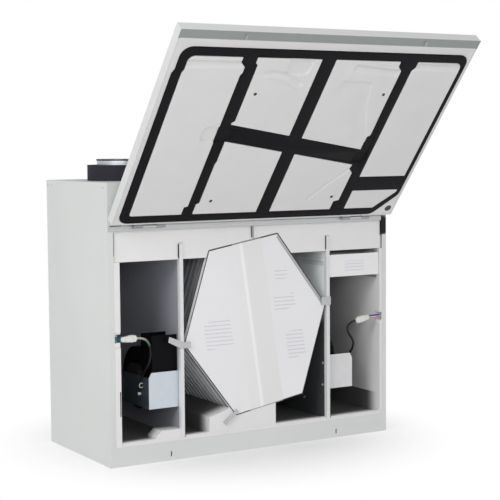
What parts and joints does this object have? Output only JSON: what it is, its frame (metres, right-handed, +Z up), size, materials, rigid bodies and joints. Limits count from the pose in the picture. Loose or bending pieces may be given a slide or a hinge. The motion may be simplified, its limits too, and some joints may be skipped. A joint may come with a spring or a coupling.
{
  "type": "heat recovery unit",
  "caption": "Floor-standing heat recovery unit with lift-up door, hexagonal plate exchanger, blower chambers, filter drawer and duct spigots on top.",
  "frame": {"origin": "middle of the cabinet's underside", "axes": "+X to the right as seen from the open front, +Y to the back, +Z up; the door stands open at rest"},
  "size_m": [1, 0.9456, 1.2642],
  "materials": {
    "casing_paint": "smooth light grey powder coat",
    "band_paint": "smooth light grey powder coat",
    "door_paint": "smooth light grey powder coat",
    "foam": "fine-beaded light grey foam",
    "door_foam": "fine-beaded light grey foam",
    "seal_rubber": "matt black cellular rubber",
    "zinc_sheet": "bright zinc-coated sheet",
    "partition_sheet": "satin grey sheet facing",
    "edge_white": "white edge channel",
    "exchanger_panel": "smooth off-white sheet",
    "exchanger_body": "thin pressed plates seen on edge",
    "strap_film": "satin warm grey film",
    "fan_black": "fine-grained black moulding",
    "motor_metal": "cast and machined",
    "connector_white": "white moulding",
    "cable_black": "black cable sheath",
    "wire_colours": "coloured insulation",
    "filter_card": "white filter frame",
    "filter_fleece": "pleated fleece",
    "clip_plastic": "light grey moulding",
    "switch_black": "black moulding",
    "latch_black": "dark grey moulding",
    "spigot_zinc": "spun zinc-coated steel",
    "collar_foam": "black cellular rubber",
    "drain_plastic": "dark grey pipe"
  },
  "bodies": {
    "cabinet": {"back_lining": "foam", "back_panel": "casing_paint", "base_panel": "band_paint", "chassis_wires": "wire_colours", "condensate_drain": "drain_plastic", "control_box": "switch_black", "door_switch": "switch_black", "duct_divider_strip": "zinc_sheet", "duct_spigots": "spigot_zinc", "exchanger_back_plate": "exchanger_panel", "exchanger_core": "exchanger_body", "exchanger_front_plate": "exchanger_panel", "exchanger_seals": "seal_rubber", "exchanger_strap": "strap_film", "filter_rails": "zinc_sheet", "floor_block": "foam", "hinge_pins": "zinc_sheet", "hinge_rail": "zinc_sheet", "left_fan_bracket": "zinc_sheet", "left_fan_connector": "connector_white", "left_fan_lead": "cable_black", "left_fan_motor": "motor_metal", "left_fan_scroll": "fan_black", "left_lining": "foam", "left_partition": "partition_sheet", "left_partition_edge": "edge_white", "left_side_panel": "casing_paint", "partition_angle": "zinc_sheet", "right_fan_bracket": "zinc_sheet", "right_fan_connector": "connector_white", "right_fan_lead": "cable_black", "right_fan_motor": "motor_metal", "right_fan_scroll": "fan_black", "right_lining": "foam", "right_partition": "partition_sheet", "right_partition_edge": "edge_white", "right_side_panel": "casing_paint", "spigot_collars": "collar_foam", "support_block": "foam", "top_block": "foam", "top_panel": "casing_paint", "upper_fascia": "casing_paint"},
    "door": {"door_pan": "door_paint", "door_insulation": "door_foam", "door_gasket": "seal_rubber", "door_hinge_leaves": "zinc_sheet"},
    "latch_left": {"door_latch_left": "latch_black"},
    "latch_right": {"door_latch_right": "latch_black"},
    "left_wheel": {"left_fan_impeller": "fan_black"},
    "right_wheel": {"right_fan_impeller": "fan_black"},
    "filter": {"filter_frame": "filter_card", "filter_media": "filter_fleece"},
    "left_clip": {"left_exchanger_clip": "clip_plastic"},
    "right_clip": {"right_exchanger_clip": "clip_plastic"},
    "lower_clip": {"lower_exchanger_clip": "clip_plastic"}
  },
  "joints": [
    {"name": "door_hinge", "type": "hinge", "parent": "cabinet", "child": "door", "pos_m": [0, -0.235, 0.71], "axis": [1, 0, 0], "range_deg": [0, 140]},
    {"name": "door_latch_left_turn", "type": "hinge", "parent": "door", "child": "latch_left", "pos_m": [-0.3, -0.67852, 1.23856], "axis": [0, -0.766, -0.6428], "range_deg": [0, 90]},
    {"name": "door_latch_right_turn", "type": "hinge", "parent": "door", "child": "latch_right", "pos_m": [0.3, -0.67852, 1.23856], "axis": [0, -0.766, -0.6428], "range_deg": [0, 90]},
    {"name": "left_fan_spin", "type": "hinge", "parent": "cabinet", "child": "left_wheel", "pos_m": [-0.3, -0.093, 0.245], "axis": [1, 0, 0], "continuous": true},
    {"name": "right_fan_spin", "type": "hinge", "parent": "cabinet", "child": "right_wheel", "pos_m": [0.31, -0.033, 0.245], "axis": [1, 0, 0], "continuous": true},
    {"name": "filter_slide", "type": "slide", "parent": "cabinet", "child": "filter", "axis": [0, 1, 0], "range_m": [-0.36, 0]},
    {"name": "left_clip_turn", "type": "hinge", "parent": "cabinet", "child": "left_clip", "pos_m": [-0.259, -0.227, 0.34568], "axis": [0, 1, 0], "range_deg": [-90, 0]},
    {"name": "right_clip_turn", "type": "hinge", "parent": "cabinet", "child": "right_clip", "pos_m": [0.271, -0.227, 0.44632], "axis": [0, 1, 0], "range_deg": [-90, 0]},
    {"name": "lower_clip_turn", "type": "hinge", "parent": "cabinet", "child": "lower_clip", "pos_m": [-0.112, -0.227, 0.095], "axis": [0, 1, 0], "range_deg": [-90, 0]}
  ]
}
